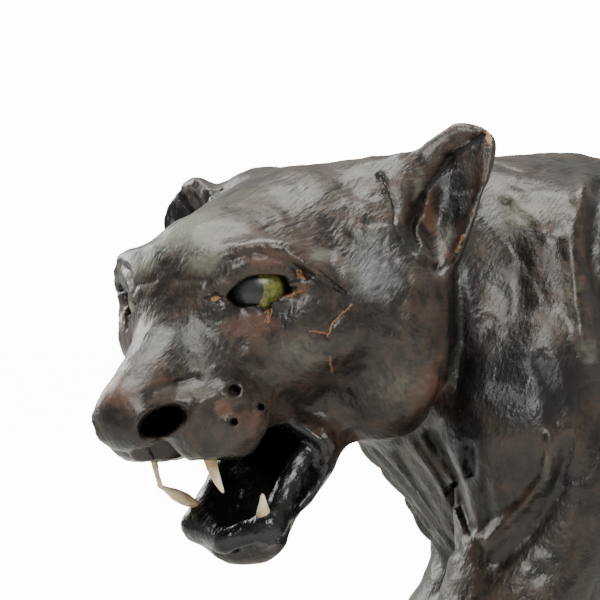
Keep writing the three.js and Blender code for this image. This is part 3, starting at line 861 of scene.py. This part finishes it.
# Painted shade: darker the deeper the hide is pressed in
painted_hollow_shade = mark("pressed").between(0.5, 0.95)
worn_here = (mark("worn") + 1.1 * (clouds - 0.5) + 0.9 * (mottle - 0.5)).between(0.36, 0.76)
# Grey film mixed with painted sheen
film_and_sheen_here = (mark("filmed") + 0.7 * (clouds - 0.5) + 0.7 * (hairs - 0.5)).between(0.25, 0.9)
# Painted shade, with no coat and less film where it lies
painted_shade_here = (mark("blackened") + 0.8 * (mottle - 0.5)).between(0.3, 0.7)
painted_here = mark("painted").between(0.3, 0.7)

colour = (0.6 * mottle + 0.4 * clouds).between(0.42, 0.58).mix(DARK_LEATHER, BROWN_LEATHER)
colour = (0.8 * worn_here).mix(colour, RED_LEATHER)
# Painted shade laid over the leather's colour
colour = painted_shade_here.mix(colour, PAINTED_SHADE_COLOUR)
# Grey film with painted sheen, held back where painted shade lies
film_and_sheen_colour = creased_here.mix(PALE_FILM_AND_SHEEN, SILVER_FILM_AND_SHEEN)
colour = (0.75 * film_and_sheen_here * (1 - 0.8 * painted_shade_here)).mix(colour, film_and_sheen_colour)
# Painted shade in the hollows
colour = (0.6 * painted_hollow_shade).mix(colour, CREVICE_SHADE)
colour = (raw_here * (0.3 + speckle)).between(0.3, 0.8).mix(colour, RAW_LEATHER)
# Black paint in the mouth and on the jaw, and painted shade in the nostril
colour = painted_here.mix(colour, BLACK_PAINT_AND_NOSTRIL_SHADE)
# Painted shade in the slits, seams and pits
shade.fill(surface["Base Color"], painted_slit_shade.mix(colour, CREVICE_SHADE))
rough = LEATHER_ROUGHNESS + 0.6 * (mottle - 0.42) + 0.14 * worn_here + 0.1 * film_and_sheen_here
shade.fill(surface["Roughness"], rough * (1 - 0.35 * painted_here) + 0.4 * painted_slit_shade)
coat = (LEATHER_COAT + PAINT_COAT * painted_here) * (1 - painted_slit_shade) * (1 - painted_shade_here)
shade.fill(surface["Coat Weight"], coat)
surface["Coat Roughness"].default_value = COAT_ROUGHNESS
surface["Specular IOR Level"].default_value = SPECULAR_LEVEL
relief = HAIR_RELIEF * hairs + MOTTLE_RELIEF * mottle + SPECKLE_RELIEF * speckle
relief = relief + creased_here * ((across - 0.5) + (along - 0.5)) * CREASE_RELIEF
relief = relief + PAINT_RELIEF * painted_here * grain(0.6)
relief = relief - SLIT_RELIEF * painted_slit_shade + RAW_RELIEF * raw_here * speckle
bump = {"Height": relief, "Strength": RELIEF_STRENGTH, "Distance": RELIEF_DEPTH}
shade.fill(surface["Normal"], shade.node("Bump", {}, bump))

# The eyes: two glass balls in the sockets, painted behind the glass with a wide dark pupil and
# a yellow-green iris. The lids are stretched round them, so only the front of each shows.

GLASS_INSET = 0.05
GLASS_RADIUS = EYE_RADIUS - GLASS_INSET
CORNEA_RISE = 0.3
# Angles off the way an eye looks, in degrees, and the angle that its mark gives as 1
CORNEA_WIDTH = 34.0
PUPIL_EDGE = 27.0
IRIS_EDGE = 58.0
MARKED_ANGLE = 90.0
EYE_ROWS = 60
EYE_SIDES = 72
PUPIL_BLACK = (0.003, 0.004, 0.006)
PUPIL_SHEEN = (0.018, 0.023, 0.026)
IRIS_DARK = (0.05, 0.052, 0.008)
IRIS_LIGHT = (0.13, 0.127, 0.02)
BEHIND_IRIS = (0.012, 0.013, 0.008)
LOOK_ASIDE = math.radians(18.5)
look = math.cos(LOOK_ASIDE) * TOWARDS - math.sin(LOOK_ASIDE) * RIGHTWARDS
ahead = (look @ HEAD_AXES) * np.array([0, 1, 1])
LOOKS = {
    "glass_eye_left": (EYE_LEFT, look),
    "glass_eye_right": (EYE_RIGHT, HEAD_AXES @ (ahead / np.linalg.norm(ahead))),
}


def frame_of(axis):
    """Two directions square to an axis and to each other."""
    side = np.cross(axis, (0, 0, 1) if abs(axis[2]) < 0.9 else (1, 0, 0))
    side /= np.linalg.norm(side)
    return side, np.cross(axis, side)


def circle(sides, side, up):
    """Directions all round, from one to the other of two that are square."""
    angle = np.linspace(0, 2 * math.pi, sides, endpoint=False)
    return np.cos(angle)[:, None] * side + np.sin(angle)[:, None] * up


def turned_rows(rings, sides):
    """Faces of a closed body of rings, with a point at each end."""
    faces = []
    for ring in range(rings - 1):
        for i in range(sides):
            j = (i + 1) % sides
            a, b = ring * sides, (ring + 1) * sides
            faces.append((a + i, a + j, b + j, b + i))
    top, bottom = rings * sides, rings * sides + 1
    last = (rings - 1) * sides
    for i in range(sides):
        j = (i + 1) % sides
        faces.append((top, j, i))
        faces.append((bottom, last + i, last + j))
    return faces


for node, (centre, gaze) in LOOKS.items():
    ring = circle(EYE_SIDES, *frame_of(gaze))
    off = np.radians(np.linspace(0, 180, EYE_ROWS + 2)[1:-1])
    reach = GLASS_RADIUS + CORNEA_RISE * bell(np.degrees(off), CORNEA_WIDTH)
    points = [centre + r * (math.cos(a) * gaze + math.sin(a) * ring) for r, a in zip(reach, off)]
    poles = [centre + gaze * (GLASS_RADIUS + CORNEA_RISE), centre - gaze * GLASS_RADIUS]
    faces = turned_rows(EYE_ROWS, EYE_SIDES)
    ball = mesh_of(node.replace("glass", "painted_glass"), np.vstack([*points, poles]), faces)
    away = np.concatenate([np.repeat(np.degrees(off), EYE_SIDES), [0, 180]])
    marked(ball.data, "off_axis", away / MARKED_ANGLE)
    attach(ball, "root")
    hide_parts(node)
    shade, place, surface = finish(node + "_paint", ball)
    off_axis = mark("off_axis")
    rays = grain(1.1, 2.0)
    pupil_end = PUPIL_EDGE / MARKED_ANGLE
    iris_end = IRIS_EDGE / MARKED_ANGLE
    iris = rays.between(0.3, 0.7).mix(IRIS_DARK, IRIS_LIGHT)
    iris = off_axis.between(iris_end - 0.05, iris_end + 0.05).mix(iris, BEHIND_IRIS)
    pupil = off_axis.between(0.05, 0.28).mix(PUPIL_SHEEN, PUPIL_BLACK)
    is_iris = (off_axis + 0.06 * (rays - 0.5)).between(pupil_end, pupil_end + 0.03)
    shade.fill(surface["Base Color"], is_iris.mix(pupil, iris))
    shade.fill(surface["Roughness"], 0.3 + 0.1 * rays)
    surface["Coat Weight"].default_value = 0.15
    surface["Coat Roughness"].default_value = 0.08

# The fangs: carved from bone or a hard ivory-coloured paste and glued into the gums. Two are
# straight horns, one is a bent splinter that is thick in the middle, and one is broken off.

# Each has its gum point and the way it points in the head, the length that shows, and stops:
# the share of that length, the radius there and how far it bends aside.
FANGS = {
    "upper_fang_left": (
        (8.1, -11.3, -38.2), (0.22, 0.15, -1), 8.0,
        [(-0.4, 1.45, 0), (0, 1.5, 0), (0.35, 1.25, 0.1), (0.7, 0.85, 0),
         (0.93, 0.5, -0.3), (1, 0.25, -0.4)],
    ),
    "upper_fang_right": (
        (-7.8, -10.5, -38.2), (0.15, 0.1, -1), 6.4,
        [(-0.5, 0.8, 0), (0, 0.85, 0), (0.4, 0.6, 0.2), (0.7, 0.62, 0.1),
         (0.92, 0.5, 0), (1, 0.25, 0)],
    ),
    "lower_fang_left": (
        (9, 8, -54), (0, -0.08, 1), 6.0,
        [(-0.5, 1.5, 0), (-0.1, 1.4, 0), (0.1, 1.6, 0), (0.3, 1.7, 0.1),
         (0.65, 0.95, 0.3), (0.92, 0.55, 0.5), (1, 0.3, 0.5)],
    ),
    "lower_fang_right": (
        (-9.8, 7.3, -49.6), (-0.25, -0.84, 0.46), 12.0,
        [(-0.28, 0.9, 0), (0, 1.15, 0), (0.25, 1.6, 0.1), (0.5, 1.45, 0.15),
         (0.8, 0.65, 0), (0.96, 0.45, -0.1), (1, 0.2, -0.1)],
    ),
}
FANG_SIDES = 20
FANG_ROWS = 26
# How unevenly a fang is carved along it and across it
CARVED_ALONG = 0.12
CARVED_ACROSS = 0.1
PALE_BONE = (0.72, 0.62, 0.44)
STAINED_BONE = (0.42, 0.27, 0.12)

for node, (gum, way, shown, stops) in FANGS.items():
    root = HEAD_AXES @ np.array(gum, dtype=float) + HEAD_PLACE
    axis = HEAD_AXES @ (np.array(way) / np.linalg.norm(way))
    side, up = frame_of(axis)
    at, thick, aside = np.array(stops, dtype=float).T
    t = np.linspace(at[0], 1, FANG_ROWS)
    radius = np.interp(t, at, thick)
    bend = np.interp(t, at, aside)
    ring = circle(FANG_SIDES, side, up)
    middles = root + np.outer(t * shown, axis) + np.outer(bend, side)
    points = np.concatenate([c + r * ring for c, r in zip(middles, radius)])
    carved = axis * CARVED_ALONG * noise(points / 1.2, 31)[:, None]
    points += carved + side * CARVED_ACROSS * noise(points / 1.6, 32)[:, None]
    ends = [middles[-1] + axis * radius[-1] * 0.6, middles[0] - axis * 0.2]
    rows = points.reshape(FANG_ROWS, FANG_SIDES, 3)[::-1].reshape(-1, 3)
    faces = turned_rows(FANG_ROWS, FANG_SIDES)
    fang = mesh_of(node.replace("fang", "carved_fang"), np.vstack([rows, ends]), faces)
    towards_tip = np.concatenate([np.repeat(t[::-1], FANG_SIDES), [1, t[0]]])
    marked(fang.data, "towards_tip", towards_tip)
    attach(fang, "root")
    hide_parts(node)
    shade, place, surface = finish(node + "_bone", fang)
    stain = grain(0.5, 4.0)
    stained = (stain + 0.5 * (0.5 - mark("towards_tip"))).between(0.35, 0.85)
    shade.fill(surface["Base Color"], stained.mix(PALE_BONE, STAINED_BONE))
    shade.fill(surface["Roughness"], 0.4 + 0.25 * stain)
    surface["Subsurface Weight"].default_value = 0.1
    surface["Subsurface Scale"].default_value = 0.8 * MM
    bump = {"Height": grain(1.5), "Strength": 0.3, "Distance": 0.2 * MM}
    shade.fill(surface["Normal"], shade.node("Bump", {}, bump))

# The view: level with the eyes, from the front left, 700 mm off. The photograph's middle is a
# little to the right of the eyes, so the camera is aimed there.

FRAME_MIDDLE = 300.0
SENSOR_WIDTH = 36.0
half_view = math.atan(FRAME_MIDDLE / (VIEW_SCALE * VIEW_REACH))
camera = bpy.data.objects.new("camera", bpy.data.cameras.new("camera"))
bpy.context.scene.collection.objects.link(camera)
camera.location = (HEAD_PLACE + TOWARDS * VIEW_REACH) * MM
aim = -TOWARDS + RIGHTWARDS * (FRAME_MIDDLE - VIEW_EYES[0]) / (VIEW_SCALE * VIEW_REACH)
aim[2] -= (FRAME_MIDDLE - VIEW_EYES[1]) / (VIEW_SCALE * VIEW_REACH)
camera.rotation_euler = Vector(aim).to_track_quat("-Z", "Y").to_euler()
camera.data.sensor_width = SENSOR_WIDTH
camera.data.lens = SENSOR_WIDTH / 2 / math.tan(half_view)
camera.data.clip_start = 0.01
bpy.context.scene.camera = camera

# The studio: a plain white paper floor that runs on into a white surround, one wide soft light
# overhead, one at the back on the left, and a smaller one in front on the right.

FLOOR_REACH = 4000.0
FLOOR_SHADES = (0.6, 0.6, 0.58), (0.64, 0.64, 0.63)
BACKDROP_GLOW = 13.0
corners = np.array([(-1, -1, 0), (1, -1, 0), (1, 1, 0), (-1, 1, 0)]) * FLOOR_REACH
floor = mesh_of("floor", corners, [(0, 1, 2, 3)])
shade, place, surface = finish("white_paper", floor)
shade.fill(surface["Base Color"], grain(0.02).mix(*FLOOR_SHADES))
surface["Roughness"].default_value = 0.9
paper = Shade(shade.tree, shade.tree.nodes["Principled BSDF"].outputs["BSDF"])
glow = shade.node("Emission", {}, {"Strength": BACKDROP_GLOW})
lit = shade.node("AddShader", {}, {0: paper, 1: glow})
watched = shade.node("LightPath", output="Is Camera Ray")
backdrop = shade.node("MixShader", {}, {"Fac": watched, 1: paper, 2: lit})
shade.fill(shade.tree.nodes["Material Output"].inputs["Surface"], backdrop)

SURROUND_LIGHT = 0.44
SURROUND_GLOW = BACKDROP_GLOW + 0.7
SURROUND_COLOUR = (1.0, 1.0, 0.97)
world = bpy.data.worlds.new("studio")
bpy.context.scene.world = world
world.use_nodes = True
shade = Shade(world.node_tree)
surround = world.node_tree.nodes["Background"].inputs
watched = shade.node("LightPath", output="Is Camera Ray")
shade.fill(surround["Strength"], SURROUND_LIGHT + SURROUND_GLOW * watched)
shade.fill(surround["Color"], SURROUND_COLOUR)

# Each softbox: how far towards the view, to its right and up from the head, its sides and watts
LAMP_COLOUR = (1.0, 0.99, 0.93)
LAMPS = {
    "light_overhead": ((-150, 0, 750), (600, 600), 10),
    "light_back_left": ((-600, -500, 350), (500, 500), 6),
    "light_front_right": ((500, 250, 450), (300, 400), 5.5),
}
for name, (offset, size, watts) in LAMPS.items():
    lamp = bpy.data.lights.new(name, "AREA")
    lamp.color = LAMP_COLOUR
    lamp.shape = "RECTANGLE"
    lamp.size = size[0] * MM
    lamp.size_y = size[1] * MM
    lamp.energy = watts
    holder = bpy.data.objects.new(name, lamp)
    bpy.context.scene.collection.objects.link(holder)
    away = offset @ np.array([TOWARDS, RIGHTWARDS, (0, 0, 1)])
    holder.location = (HEAD_PLACE + away) * MM
    holder.rotation_euler = Vector(-away).to_track_quat("-Z", "Y").to_euler()
